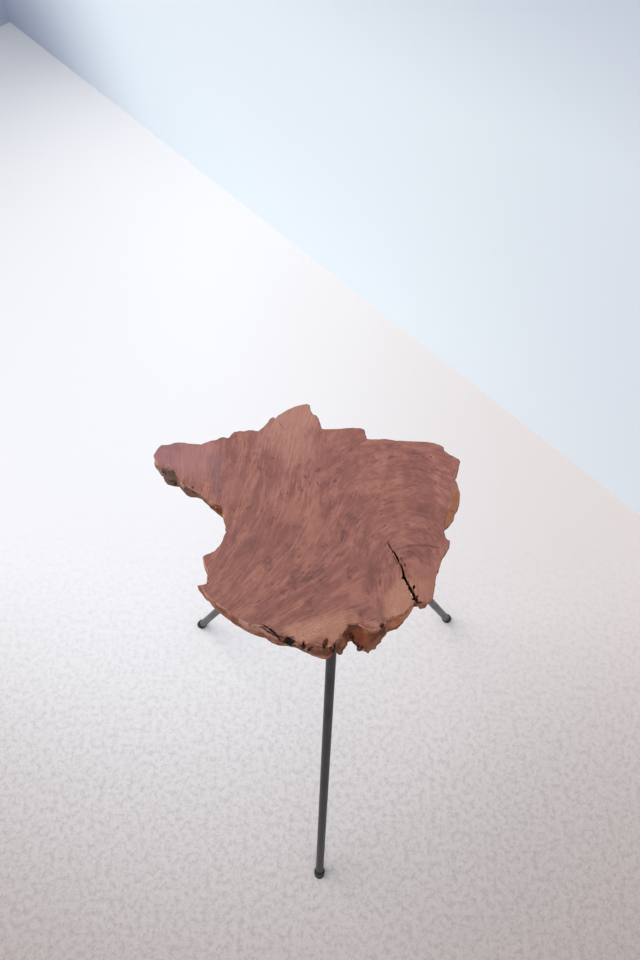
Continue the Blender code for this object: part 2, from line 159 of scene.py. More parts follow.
# Hollows scooped out of the edge: x and y of their middle, its height and the reach and
# depth, the last three as shares of the slab's thickness
SCOOP_SHARES = [
    (0.045, 0.680, 0.82, 0.36, 0.14),
    (0.072, 0.676, 0.22, 0.26, 0.09),
    (0.130, 0.607, 0.80, 0.34, 0.11),
    (0.222, 0.535, 0.70, 0.30, 0.08),
    (0.636, 0.073, 0.31, 0.16, 0.10),
    (0.650, 0.066, 0.14, 0.16, 0.12),
    (0.680, 0.050, 0.10, 0.10, 0.10),
    (0.730, 0.083, 0.86, 0.16, 0.12),
    (0.768, 0.112, 0.60, 0.22, 0.06),
    (0.458, 0.035, 0.60, 0.34, 0.10),
    (0.497, 0.028, 0.40, 0.10, 0.06),
    (0.518, 0.018, 0.55, 0.10, 0.06),
    (0.588, 0.012, 0.63, 0.12, 0.08),
    (0.773, 0.347, 0.95, 0.20, 0.018),
    (0.795, 0.286, 0.95, 0.24, 0.026),
    (0.799, 0.267, 0.95, 0.28, 0.030),
    (0.804, 0.244, 0.95, 0.20, 0.020),
    (0.821, 0.205, 0.95, 0.24, 0.026),
    (0.827, 0.189, 0.95, 0.26, 0.030),
    (0.835, 0.169, 0.95, 0.28, 0.030),
]

# Teeth along the foot of the torn edge: x, y, then the reach and push, as shares of the
# slab's thickness
TOOTH_SHARES = [
    (0.610, 0.036, 0.12, 0.11),
    (0.668, 0.052, 0.12, 0.12),
    (0.688, 0.046, 0.12, 0.13),
    (0.706, 0.056, 0.10, 0.10),
    (0.742, 0.095, 0.14, 0.06),
]


def on_slab(x_share, y_share, height_share=1.0):
    """A place on the slab, from shares of its box."""
    shares = Vector((x_share, y_share, height_share))
    return slab_low + Vector([size * share for size, share in zip(slab_size, shares)])


def evaluated_mesh(thing):
    graph = bpy.context.evaluated_depsgraph_get()
    graph.update()
    return bpy.data.meshes.new_from_object(thing.evaluated_get(graph))


def new_object(name, data):
    thing = bpy.data.objects.new(name, data)
    bpy.context.scene.collection.objects.link(thing)
    return thing


def welded_copy(node, name):
    """A new object with the node's mesh, its split corners joined."""
    work = bmesh.new()
    work.from_mesh(node.data)
    bmesh.ops.remove_doubles(work, verts=work.verts, dist=MERGE)
    mesh = bpy.data.meshes.new(name)
    work.to_mesh(mesh)
    work.free()
    mesh.materials.clear()
    return new_object(name, mesh)


def wedge_mesh(name, points, width, depth):
    """A thin wedge under a line of points, pointed at both ends."""
    work = bmesh.new()
    sections = []
    for order, point in enumerate(points):
        along = (points[min(order + 1, len(points) - 1)] - points[max(order - 1, 0)]).normalized()
        half = width / 2
        if order in (0, len(points) - 1):
            half *= TIP_SHARE
        side = Vector((-along.y, along.x, 0)) * half
        up = Vector((0, 0, OVERRUN))
        down = Vector((0, 0, -depth))
        corners = (point + side + up, point - side + up, point + down)
        sections.append([work.verts.new(corner) for corner in corners])
    for first, second in zip(sections, sections[1:]):
        for i in range(3):
            j = (i + 1) % 3
            work.faces.new((first[i], first[j], second[j], second[i]))
    work.faces.new(sections[0])
    work.faces.new(sections[-1])
    bmesh.ops.recalc_face_normals(work, faces=work.faces)
    mesh = bpy.data.meshes.new(name)
    work.to_mesh(mesh)
    work.free()
    return mesh


def cut_hair_cracks(thing):
    cutters = []
    for name, (width, depth, shares) in HAIR_CRACK_SHARES.items():
        points = [on_slab(x, y) for x, y in shares]
        cutter = new_object(name, wedge_mesh(name, points, width, depth))
        boolean = thing.modifiers.new(name, "BOOLEAN")
        boolean.object = cutter
        cutters.append(cutter)
    old = thing.data
    thing.data = evaluated_mesh(thing)
    thing.modifiers.clear()
    bpy.data.meshes.remove(old)
    for cutter in cutters:
        bpy.data.objects.remove(cutter)


def near_plate(place):
    return (place.xy - tripod_axis.xy).length < PLATE_SURROUND


def share_within(place, centre, reach):
    """1 at a centre, falling to 0 at its reach."""
    return max(0.0, 1 - (place - centre).length / reach)


def on_face(vertex):
    """Whether a point lies in the plane of the sanded face or of the underside."""
    return min(slab_high.z - vertex.co.z, vertex.co.z - slab_low.z) < MERGE


def on_natural_edge(edge):
    """Whether an edge of the mesh borders the side of the slab, away from the plate."""
    if near_plate(edge.verts[0].co) or near_plate(edge.verts[1].co):
        return False
    return any(not on_face(vertex) for face in edge.link_faces for vertex in face.verts)


def slice_dips(work):
    """Cuts the sanded face into a fine grid where it dips."""
    for axis in (Vector((1, 0, 0)), Vector((0, 1, 0))):
        places = set()
        for x, y, reach, depth in DIP_SHARES:
            middle = on_slab(x, y).dot(axis)
            steps = math.ceil(reach * slab_size.x / DIP_STEP)
            start = round(middle / DIP_STEP)
            places.update(range(start - steps, start + steps + 1))
        for place in sorted(places):
            faces = [face for face in work.faces if all(on_face(vertex) for vertex in face.verts)
                     and face.verts[0].co.z > slab_high.z - OVERRUN]
            edges = {edge for face in faces for edge in face.edges}
            verts = {vertex for face in faces for vertex in face.verts}
            geometry = [*verts, *edges, *faces]
            point = axis * place * DIP_STEP
            bmesh.ops.bisect_plane(work, geom=geometry, plane_co=point, plane_no=axis)
    bmesh.ops.triangulate(work, faces=work.faces)


def refine(work):
    """Halves the long edges along the side of the slab."""
    for _ in range(HALVINGS):
        coarse = [edge for edge in work.edges
                  if edge.calc_length() > EDGE_STEP and on_natural_edge(edge)]
        if not coarse:
            break
        bmesh.ops.subdivide_edges(work, edges=coarse, cuts=1)
        split = [face for face in work.faces if len(face.verts) > 3]
        bmesh.ops.triangulate(work, faces=split, quad_method="SHORT_EDGE", ngon_method="EAR_CLIP")


def grain_noise(place, width, draw):
    return noise.noise(Vector((place.x, place.y, place.z * draw)) / width)


def edge_relief(place):
    """How far a point of the natural edge moves out."""
    torn = sum(extra * share_within(place.xy, on_slab(x, y).xy, reach * slab_size.x)
               for x, y, reach, extra in TORN_SHARES)
    relief = FIBRE_DEPTH * (1 + torn) * grain_noise(place, FIBRE_WIDTH, FIBRE_DRAW)
    relief += HOLLOW_DEPTH * (grain_noise(place, HOLLOW_WIDTH, HOLLOW_DRAW) - SETBACK_SHARE)
    splinter = grain_noise(place, SPLINTER_WIDTH, SPLINTER_DRAW)
    step = math.floor(SPLINTER_STEPS * splinter) / SPLINTER_STEPS
    relief += SPLINTER_DEPTH * torn * (step - SETBACK_SHARE)
    return min(PROUD_LIMIT * (1 + torn), relief)


def scooped(place):
    """How far scoops take the edge in and teeth bring it out."""
    out = 0.0
    for x, y, height, reach, depth in SCOOP_SHARES:
        near = share_within(place, on_slab(x, y, height), reach * slab_size.z)
        out -= depth * slab_size.z * min(1.0, SCOOP_FALL * near)
    for x, y, reach, push in TOOTH_SHARES:
        near = share_within(place, on_slab(x, y, TOOTH_HEIGHT_SHARE), reach * slab_size.z)
        out += push * slab_size.z * min(1.0, TOOTH_FALL * near)
    return out


def dip_depth(place):
    """How far the sanded face lies below its plane near the broken places."""
    depth = 0.0
    for x, y, reach, share in DIP_SHARES:
        near = share_within(place.xy, on_slab(x, y).xy, reach * slab_size.x)
        inside = min(1.0, DIP_FALL * near)
        depth = max(depth, share * slab_size.z * inside * inside * (3 - 2 * inside))
    return depth


def kept_in_room(tree, place, flat, move):
    """A move cut down where the facing wall of a crack, or the far side of a sliver, is near."""
    side = flat if move > 0 else -flat
    start = place + side * WALL_CLEARANCE - Vector((0, 0, WALL_CLEARANCE))
    distance = tree.ray_cast(start, side, OPENING_LIMIT)[3]
    room = OPENING_LIMIT if distance is None else distance
    limit = room * OPENING_SHARE
    return max(-limit, min(limit, move)) if room < OPENING_LIMIT else move


def without_folds(work, moves):
    """The moves, cut back wherever they would turn a face over."""
    for _ in range(UNFOLD_PASSES):
        for face in work.faces:
            corners = [vertex.co + moves[vertex.index] for vertex in face.verts]
            turned = normal(corners)
            if turned.dot(face.normal) < FOLD_LIMIT:
                for vertex in face.verts:
                    moves[vertex.index] *= FOLDED_MOVE_SHARE
    return moves


def weather(work):
    """Gives the natural edge its relief and lets the sanded face dip where it is broken."""
    work.verts.index_update()
    work.normal_update()
    tree = BVHTree.FromBMesh(work)
    moves = []
    for vertex in work.verts:
        place = vertex.co
        flat = Vector((vertex.normal.x, vertex.normal.y, 0))
        move = Vector()
        if flat.length > SIDE_TILT and not near_plate(place):
            below_rim = min(1.0, RIM_SHARE + (slab_high.z - place.z) / RIM_DEPTH)
            out = edge_relief(place) * below_rim + scooped(place)
            flat.normalize()
            move = flat * kept_in_room(tree, place, flat, out)
        if place.z > slab_low.z + slab_size.z * DIP_HEIGHT_SHARE:
            move.z -= dip_depth(place)
        moves.append(move)
    for vertex, move in zip(work.verts, without_folds(work, moves)):
        vertex.co += move


slab = welded_copy(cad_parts["slab_top"], "wood_slab")
cut_hair_cracks(slab)
work = bmesh.new()
work.from_mesh(slab.data)
bmesh.ops.triangulate(work, faces=work.faces)
bmesh.ops.dissolve_degenerate(work, dist=SLIVER, edges=work.edges)
slice_dips(work)
refine(work)
weather(work)
work.to_mesh(slab.data)
work.free()
slab.data.shade_smooth()
slab.data.set_sharp_from_angle(angle=math.radians(CREASE))


def as_seen(red, green, blue):
    """A colour from its 0 to 255 levels on screen, with the screen's own curve undone."""
    colour = []
    for level in (red / 255, green / 255, blue / 255):
        colour.append(level / 12.92 if level <= 0.04045 else ((level + 0.055) / 1.055) ** 2.4)
    return (*colour, 1.0)


def add_node(tree, kind, inputs=(), **settings):
    """A shader node with its settings, each input a value or another node's output."""
    made = tree.nodes.new("ShaderNode" + kind)
    for name, value in settings.items():
        setattr(made, name, value)
    for key, value in dict(inputs).items():
        if isinstance(value, bpy.types.NodeSocket):
            tree.links.new(value, made.inputs[key])
        else:
            made.inputs[key].default_value = value
    return made


def maths(tree, operation, *values):
    return add_node(tree, "Math", enumerate(values), operation=operation).outputs[0]


def vector_maths(tree, operation, *values):
    made = add_node(tree, "VectorMath", enumerate(values), operation=operation)
    return made.outputs["Value" if operation in ("LENGTH", "DOT_PRODUCT") else "Vector"]


def soft_step(tree, value, start, end):
    """0 up to start, 1 from end on, and smooth between. Start may lie above end."""
    inputs = {"Value": value, "From Min": start, "From Max": end}
    return add_node(tree, "MapRange", inputs, interpolation_type="SMOOTHSTEP").outputs["Result"]


def blend_colours(tree, share, first, second, mode="MIX"):
    inputs = {0: share, 6: first, 7: second}
    return add_node(tree, "Mix", inputs, data_type="RGBA", blend_type=mode).outputs[2]


def noise_at(tree, place, scale, detail=2.0, roughness=0.5, output="Fac"):
    inputs = {"Vector": place, "Scale": scale, "Detail": detail, "Roughness": roughness}
    return add_node(tree, "TexNoise", inputs).outputs[output]


def object_place(tree):
    return add_node(tree, "TexCoord").outputs["Object"]


def parts_of(tree, vector):
    return add_node(tree, "SeparateXYZ", {0: vector}).outputs


def new_group(name, inputs, outputs):
    """A node group, its inner tree, and the sockets that it takes in and puts out."""
    group = bpy.data.node_groups.new(name, "ShaderNodeTree")
    for socket_name, kind in inputs.items():
        group.interface.new_socket(socket_name, in_out="INPUT", socket_type="NodeSocket" + kind)
    for socket_name, kind in outputs.items():
        group.interface.new_socket(socket_name, in_out="OUTPUT", socket_type="NodeSocket" + kind)
    taken = group.nodes.new("NodeGroupInput")
    given = group.nodes.new("NodeGroupOutput")
    return group, taken.outputs, given.inputs


def new_material(name):
    material = bpy.data.materials.new(name)
    material.use_nodes = True
    return material, material.node_tree, material.node_tree.nodes["Principled BSDF"]


def placed_mark_group():
    """A mask along a line between two places, full within a reach and gone a fade past it."""
    places = {"Place": "Vector", "Start": "Vector", "End": "Vector"}
    sizes = {"Reach": "Float", "Fade": "Float"}
    group, taken, given = new_group("placed_mark", places | sizes, {"Mask": "Float"})
    line = vector_maths(group, "SUBTRACT", taken["End"], taken["Start"])
    away = vector_maths(group, "SUBTRACT", taken["Place"], taken["Start"])
    along = vector_maths(group, "DOT_PRODUCT", away, line)
    length = vector_maths(group, "DOT_PRODUCT", line, line)
    share = add_node(group, "Math", {0: along, 1: length}, operation="DIVIDE", use_clamp=True)
    inputs = {0: line, "Scale": share.outputs[0]}
    nearest = add_node(group, "VectorMath", inputs, operation="SCALE").outputs["Vector"]
    distance = vector_maths(group, "LENGTH", vector_maths(group, "SUBTRACT", away, nearest))
    outer = maths(group, "ADD", taken["Reach"], taken["Fade"])
    group.links.new(soft_step(group, distance, outer, taken["Reach"]), given["Mask"])
    return group


def drawn_out_group():
    """Noise stretched along the grain, from how far across the grain a place lies."""
    inputs = {"Across": "Float", "Place": "Vector", "Width": "Float", "Length": "Float"}
    group, taken, given = new_group("drawn_out_noise", inputs, {"Value": "Float"})
    parts = parts_of(group, taken["Place"])
    across = maths(group, "DIVIDE", taken["Across"], taken["Width"])
    x_along = maths(group, "DIVIDE", parts["X"], taken["Length"])
    y_along = maths(group, "DIVIDE", parts["Y"], taken["Length"])
    stretched = add_node(group, "CombineXYZ", {"X": across, "Y": x_along, "Z": y_along}).outputs[0]
    value = noise_at(group, stretched, 1.0, detail=3.0, roughness=0.6)
    group.links.new(value, given["Value"])
    return group


placed_mark = placed_mark_group()
drawn_out_noise = drawn_out_group()

# Colours of the oiled face
RED_BROWN = as_seen(162, 106, 93)
PURPLE_BROWN = as_seen(137, 83, 73)
ORANGE_BROWN = as_seen(179, 117, 99)
FLECK_PURPLE = as_seen(105, 63, 59)
PALE_TAN = as_seen(186, 128, 103)
PALE_GRIT = as_seen(218, 168, 142)
WHITE_FLECK = as_seen(236, 226, 214)
PEAK_TAN_AND_SHEEN = as_seen(191, 136, 118)
BLUE_STAIN = as_seen(124, 90, 93)
TONGUE_PINK = as_seen(176, 122, 117)
CRIMSON = as_seen(150, 84, 74)
FACET_BROWN = as_seen(120, 76, 68)
# Painted shade, darker towards the front of the face, which leaves the back paler as a sheen would
FRONT_SHADE = as_seen(240, 238, 235)

# Colours of the natural edge
EDGE_RED = as_seen(178, 120, 96)
EDGE_BROWN = as_seen(136, 81, 58)
EDGE_RUST = as_seen(148, 80, 49)
EDGE_UMBER = as_seen(108, 61, 44)
EDGE_OLIVE = as_seen(126, 99, 89)
EDGE_MAUVE = as_seen(196, 146, 136)
EDGE_ORANGE = as_seen(202, 132, 96)
EDGE_DARK = as_seen(80, 60, 51)
EDGE_GREY = as_seen(146, 106, 87)
CRACK_SHADE_BLACK = as_seen(20, 12, 10)
RIM_TAN = as_seen(204, 156, 130)

# Where the heart of the root lies, how far its rings are drawn out towards the back, and
# how many times as broad and as short its streaks and its flecks are as the flank's
HEART_SHARES = (0.807, 0.262)
RING_STRETCH = 1.5
HEART_BROADER = 1.5
HEART_FLECK_BROADER = 0.85

# The surface whose level lines the grain follows on the flank: powers of x and y from
# the middle of the slab, with the share of each
FLANK_TERM_SHARES = {
    (1, 0): -0.72,
    (0, 1): 0.23,
    (2, 0): 0.50,
    (1, 1): -0.40,
    (0, 2): -0.57,
    (3, 0): -0.23,
    (2, 1): -1.57,
    (1, 2): 0.75,
    (0, 3): 1.00,
}

# Marks on the face, each a line in shares of the slab's box: its two ends, its reach
# and fade as shares of the width, and its strength
HEARTWOOD_SHARES = [
    (0.800, 0.660, 0.800, 0.580, 0.220, 0.070, 1.0),
    (0.770, 0.220, 0.860, 0.120, 0.060, 0.060, 1.0),
]
PURPLE_SHARES = [
    (0.617, 0.432, 0.614, 0.408, 0.005, 0.014, 0.95),
    (0.753, 0.563, 0.795, 0.565, 0.001, 0.008, 0.7),
    (0.780, 0.631, 0.849, 0.630, 0.001, 0.006, 0.7),
    (0.829, 0.774, 0.876, 0.766, 0.002, 0.016, 0.7),
    (0.838, 0.715, 0.898, 0.690, 0.001, 0.012, 0.55),
    (0.712, 0.743, 0.719, 0.738, 0.003, 0.012, 0.6),
    (0.628, 0.505, 0.640, 0.486, 0.003, 0.014, 0.7),
    (0.595, 0.480, 0.604, 0.462, 0.002, 0.012, 0.6),
    (0.695, 0.245, 0.712, 0.285, 0.004, 0.030, 0.5),
    (0.388, 0.320, 0.393, 0.295, 0.004, 0.016, 0.75),
    (0.472, 0.745, 0.474, 0.700, 0.001, 0.007, 0.6),
    (0.504, 0.735, 0.491, 0.688, 0.001, 0.007, 0.5),
    (0.632, 0.288, 0.636, 0.262, 0.003, 0.009, 0.6),
    (0.510, 0.172, 0.518, 0.160, 0.003, 0.014, 0.75),
    (0.552, 0.284, 0.500, 0.244, 0.002, 0.016, 0.8),
    (0.525, 0.271, 0.460, 0.226, 0.002, 0.018, 0.8),
    (0.480, 0.289, 0.465, 0.262, 0.002, 0.016, 0.7),
    (0.594, 0.342, 0.617, 0.360, 0.001, 0.009, 0.7),
    (0.457, 0.190, 0.427, 0.146, 0.001, 0.012, 0.6),
    (0.278, 0.395, 0.286, 0.431, 0.003, 0.014, 0.6),
    (0.328, 0.351, 0.351, 0.404, 0.001, 0.016, 0.5),
    (0.560, 0.500, 0.580, 0.560, 0.003, 0.020, 0.5),
    (0.860, 0.600, 0.880, 0.480, 0.006, 0.040, 0.35),
    (0.828, 0.350, 0.850, 0.345, 0.004, 0.020, 0.5),
]
ORANGE_SHARES = [
    (0.452, 0.530, 0.455, 0.500, 0.010, 0.045, 0.7),
    (0.525, 0.515, 0.528, 0.480, 0.006, 0.040, 0.6),
    (0.645, 0.215, 0.650, 0.190, 0.008, 0.030, 0.9),
    (0.272, 0.625, 0.276, 0.590, 0.008, 0.040, 0.5),
    (0.840, 0.290, 0.860, 0.270, 0.012, 0.030, 0.6),
]
# Paler tan at the back of the face: partly the wood's own colour and partly painted sheen
PEAK_AND_SHEEN_SHARES = [
    (0.430, 0.900, 0.500, 0.980, 0.030, 0.070, 0.9),
    (0.400, 0.860, 0.470, 0.780, 0.020, 0.080, 0.6),
]
PALE_SHARES = [
    (0.460, 0.058, 0.640, 0.112, 0.014, 0.014, 0.9),
    (0.500, 0.045, 0.600, 0.070, 0.018, 0.018, 0.9),
    (0.768, 0.165, 0.796, 0.215, 0.026, 0.024, 0.85),
    (0.750, 0.130, 0.790, 0.155, 0.012, 0.018, 0.8),
    (0.850, 0.195, 0.862, 0.225, 0.014, 0.024, 0.6),
    # A painted reflection: the faint pale band down the right of the face
    (0.788, 0.700, 0.792, 0.420, 0.004, 0.024, 0.22),
    (0.690, 0.092, 0.706, 0.082, 0.007, 0.012, 0.7),
]
GRIT_SHARES = [
    (0.450, 0.058, 0.610, 0.102, 0.006, 0.018, 0.55),
    (0.490, 0.045, 0.540, 0.066, 0.012, 0.018, 0.95),
    (0.760, 0.150, 0.790, 0.200, 0.020, 0.028, 0.45),
]
STAIN_SHARES = [
    (0.195, 0.735, 0.218, 0.600, 0.003, 0.024, 0.55),
    (0.214, 0.760, 0.210, 0.655, 0.002, 0.018, 0.55),
    (0.020, 0.790, 0.080, 0.780, 0.004, 0.030, 0.5),
    (0.030, 0.755, 0.055, 0.735, 0.006, 0.024, 0.35),
]
FACET_SHARES = [
    (0.652, 0.112, 0.690, 0.142, 0.004, 0.012, 0.75),
    (0.690, 0.142, 0.720, 0.122, 0.004, 0.012, 0.65),
    (0.662, 0.120, 0.700, 0.124, 0.006, 0.010, 0.60),
    (0.722, 0.104, 0.730, 0.096, 0.008, 0.016, 0.7),
]
PINK_SHARES = [
    (0.020, 0.780, 0.150, 0.740, 0.030, 0.080, 0.9),
]
RED_SHARES = [
    (0.733, 0.180, 0.745, 0.245, 0.003, 0.018, 0.45),
]
RING_SHARES = [
    (0.779, 0.370, 0.812, 0.385, 0.0010, 0.0045, 0.7),
    (0.812, 0.385, 0.868, 0.386, 0.0012, 0.0045, 1.0),
    (0.868, 0.386, 0.905, 0.377, 0.0010, 0.0045, 0.8),
]
# A tiny near-white fleck at the edge of the long crack
WHITE_FLECK_SHARES = [
    (0.815, 0.197, 0.816, 0.196, 0.0016, 0.0020, 1.0),
]

# Marks on the natural edge, in the same form but with three shares for each end
EDGE_RUST_SHARES = [
    (0.650, 0.062, 0.45, 0.664, 0.060, 0.55, 0.022, 0.020, 1.0),
]
EDGE_UMBER_SHARES = [
    (0.672, 0.055, 0.40, 0.715, 0.066, 0.50, 0.036, 0.020, 1.0),
    (0.632, 0.078, 0.85, 0.646, 0.076, 0.60, 0.026, 0.012, 1.0),
    (0.560, 0.004, 0.50, 0.600, 0.004, 0.50, 0.026, 0.020, 0.85),
]
EDGE_MAUVE_SHARES = [
    (0.335, 0.094, 0.85, 0.405, 0.060, 0.80, 0.016, 0.014, 0.70),
    (0.480, 0.024, 0.70, 0.498, 0.020, 0.60, 0.010, 0.010, 0.5),
]
EDGE_OLIVE_SHARES = [
    (0.033, 0.693, 0.75, 0.071, 0.680, 0.75, 0.026, 0.010, 0.95),
    (0.045, 0.688, 0.40, 0.078, 0.672, 0.08, 0.026, 0.012, 0.9),
    (0.110, 0.624, 0.50, 0.155, 0.592, 0.42, 0.030, 0.012, 0.9),
]
EDGE_PALE_SHARES = [
    (0.099, 0.633, 0.98, 0.101, 0.629, 0.70, 0.008, 0.006, 0.9),
    (0.203, 0.550, 0.92, 0.205, 0.548, 0.80, 0.007, 0.006, 0.9),
    (0.018, 0.716, 0.95, 0.022, 0.705, 0.60, 0.008, 0.006, 0.7),
]
EDGE_BROWN_SHARES = [
    (0.490, 0.010, 0.40, 0.590, 0.000, 0.40, 0.030, 0.030, 0.8),
    (0.205, 0.545, 0.60, 0.235, 0.530, 0.60, 0.016, 0.014, 0.9),
    (0.740, 0.095, 0.30, 0.790, 0.120, 0.30, 0.040, 0.030, 0.7),
]
EDGE_ORANGE_SHARES = [
    (0.985, 0.560, 0.60, 0.992, 0.640, 0.60, 0.050, 0.030, 0.9),
    (0.700, 0.050, 0.20, 0.725, 0.075, 0.40, 0.014, 0.016, 0.3),
    (0.770, 0.108, 0.60, 0.815, 0.150, 0.60, 0.022, 0.020, 0.8),
    (0.545, 0.000, 0.20, 0.575, -0.005, 0.20, 0.012, 0.016, 0.7),
    (0.223, 0.539, 0.88, 0.215, 0.545, 0.70, 0.010, 0.012, 0.8),
]
# Dark marks in the hollows, recesses and the bite's left wall: partly darker inner wood and partly
# painted shade
EDGE_DARK_SHARES = [
    (0.030, 0.694, 0.80, 0.038, 0.691, 0.66, 0.008, 0.010, 0.8),
    (0.060, 0.686, 0.28, 0.066, 0.690, 0.14, 0.011, 0.008, 0.95),
    (0.120, 0.618, 0.74, 0.140, 0.605, 0.70, 0.007, 0.010, 0.7),
    (0.632, 0.078, 0.85, 0.646, 0.076, 0.60, 0.024, 0.012, 0.12),
    (0.728, 0.078, 0.60, 0.732, 0.080, 0.60, 0.008, 0.010, 0.6),
    (0.260, 0.420, 0.50, 0.255, 0.500, 0.50, 0.030, 0.040, 0.4),
    (0.588, 0.012, 0.20, 0.600, 0.020, 0.30, 0.010, 0.012, 0.7),
]
# Painted shade, near black, inside the cracks, holes, slots and deepest hollows of the edge
CRACK_SHARES = [
    (0.765, 0.350, 0.80, 0.822, 0.240, 0.80, 0.014, 0.010, 0.9),
    (0.822, 0.240, 0.80, 0.836, 0.178, 0.80, 0.008, 0.006, 0.9),
    (0.455, 0.048, 0.60, 0.465, 0.042, 0.90, 0.0140, 0.005, 1.0),
    (0.452, 0.047, 0.38, 0.466, 0.044, 0.42, 0.0100, 0.005, 1.0),
    (0.379, 0.079, 0.92, 0.440, 0.036, 0.90, 0.006, 0.004, 0.9),
    (0.503, 0.023, 0.82, 0.494, 0.027, 0.44, 0.0068, 0.002, 1.0),
    (0.525, 0.019, 0.78, 0.514, 0.020, 0.44, 0.0042, 0.002, 0.9),
    (0.588, 0.012, 0.66, 0.589, 0.012, 0.55, 0.005, 0.004, 0.9),
    (0.730, 0.085, 0.92, 0.731, 0.084, 0.84, 0.004, 0.004, 0.60),
    (0.636, 0.073, 0.34, 0.638, 0.073, 0.20, 0.005, 0.004, 0.9),
    (0.643, 0.070, 0.14, 0.652, 0.064, 0.12, 0.005, 0.004, 0.95),
    (0.652, 0.062, 0.12, 0.672, 0.051, 0.06, 0.004, 0.004, 0.95),
    (0.657, 0.057, 0.27, 0.658, 0.057, 0.22, 0.002, 0.003, 0.8),
    (0.572, 0.031, 0.97, 0.560, 0.006, 0.80, 0.004, 0.004, 0.6),
]

# How wide and long the streaks, bands and flecks of the grain are
STREAK_WIDTH = 0.0013
STREAK_LENGTH = 0.014
BAND_WIDTH = 0.0080
BAND_LENGTH = 0.040
FLECK_WIDTH = 0.0011
FLECK_LENGTH = 0.0050

# How fine and how far the marks and the grain wander
GRAIN_WANDER = (16.0, 0.006)
MARK_WANDER = (130.0, 0.007)
MARK_FRAY = (520.0, 0.003)
EDGE_WANDER = (170.0, 0.006)

# The other noises of the face: how fine each is, and how many and how rough its details
MOTTLE_NOISE = (60.0, 4.0, 0.6)
CLUSTER_NOISE = (85.0, 3.0, 0.6)
FINE_MOTTLE_NOISE = (300.0, 3.0, 0.6)
GRIT_NOISE = (1300.0, 2.0, 0.7)

# Layers of the face: at which level of its noise each begins, at which level it is
# whole, and how strong it then is. A range has only the two levels
MOTTLE_LAYER = (0.32, 0.60, 0.50)
DARK_STREAK_LAYER = (0.47, 0.67, 0.75)
PALE_STREAK_LAYER = (0.47, 0.31, 0.60)
FINE_MOTTLE_LAYER = (0.48, 0.64, 0.35)
FLECK_LAYER = (0.52, 0.64, 0.85)
GRIT_LAYER = (0.46, 0.66, 0.85)
LOW_GRAIN_LAYER = (0.44, 0.60, 0.18)
BAND_RANGE = (0.38, 0.61)
CLUSTER_RANGE = (0.48, 0.62)
BREAK_RANGE = (0.34, 0.52)

# The share of their strength that streaks lack at the heart, how strong the marks are, and where from
# back to front the painted shade of the front begins and is whole, which leaves the back paler as a
# sheen would
HEART_CALM_SHARE = 0.20
STAIN_STRENGTH = 0.80
DARK_MARK_STRENGTH = 0.90
RING_STRENGTH = 0.70
PALE_STRENGTH = 0.85
FRONT_SHADE_SHARES = (0.95, 0.0)


def mark_mask(tree, place, mark_shares):
    """The strongest of several marks at each place."""
    total = 0.0
    for *ends, reach, fade, strength in mark_shares:
        half = len(ends) // 2
        line = {"Place": place, "Start": on_slab(*ends[:half]), "End": on_slab(*ends[half:])}
        sizes = {"Reach": reach * slab_size.x, "Fade": fade * slab_size.x}
        mark = add_node(tree, "Group", line | sizes, node_tree=placed_mark)
        weighted = maths(tree, "MULTIPLY", mark.outputs["Mask"], strength)
        total = maths(tree, "MAXIMUM", total, weighted)
    return total


def heart_distance(tree, place):
    """How far out from the heart a place lies, along which its rings repeat."""
    heart = on_slab(*HEART_SHARES)
    parts = parts_of(tree, vector_maths(tree, "SUBTRACT", place, heart))
    behind = maths(tree, "DIVIDE", maths(tree, "MAXIMUM", parts["Y"], 0.0), RING_STRETCH)
    flat = add_node(tree, "CombineXYZ", {"X": parts["X"], "Y": behind}).outputs[0]
    return vector_maths(tree, "LENGTH", flat)


def flank_distance(tree, place):
    """How far out a place lies on the flank of the root, where the grain runs off in sweeps."""
    width = Vector((1, 1, 1)) * slab_size.x
    from_middle = vector_maths(tree, "SUBTRACT", place, on_slab(0.5, 0.5))
    parts = parts_of(tree, vector_maths(tree, "DIVIDE", from_middle, width))
    total = 0.0
    for (x_power, y_power), share in FLANK_TERM_SHARES.items():
        term = share
        for factor in [parts["X"]] * x_power + [parts["Y"]] * y_power:
            term = maths(tree, "MULTIPLY", factor, term)
        total = maths(tree, "ADD", term, total)
    return maths(tree, "MULTIPLY", total, slab_size.x)


def warped(tree, place, scale, reach):
    """Places pushed about by soft noise, so that what is drawn from them wanders."""
    wander = noise_at(tree, place, scale, output="Color")
    centred = vector_maths(tree, "SUBTRACT", wander, (0.5, 0.5, 0.5))
    push = vector_maths(tree, "MULTIPLY", centred, (reach, reach, reach))
    return vector_maths(tree, "ADD", place, push)


def along_grain(tree, ways, place, width, length, broader=HEART_BROADER):
    """Noise drawn out along the rings near the heart and along the flank elsewhere."""
    by_heart, flank, ring = ways
    values = []
    for distance, spread in ((flank, 1.0), (ring, broader)):
        places = {"Across": distance, "Place": place}
        sizes = {"Width": width * spread, "Length": length / spread}
        drawn = add_node(tree, "Group", places | sizes, node_tree=drawn_out_noise)
        values.append(drawn.outputs["Value"])
    return add_node(tree, "Mix", {0: by_heart, 2: values[0], 3: values[1]}).outputs[0]


def lay_over(tree, colour, tint, mask, strength):
    """A colour tinted where a mask says, no more than the strength."""
    return blend_colours(tree, maths(tree, "MULTIPLY", mask, strength), colour, tint)


def lay_where(tree, colour, tint, value, layer, within=None):
    """A colour tinted where a value lies past a layer's levels, and within a mask if given."""
    start, end, strength = layer
    mask = soft_step(tree, value, start, end)
    if within is not None:
        mask = maths(tree, "MULTIPLY", mask, within)
    return lay_over(tree, colour, tint, mask, strength)


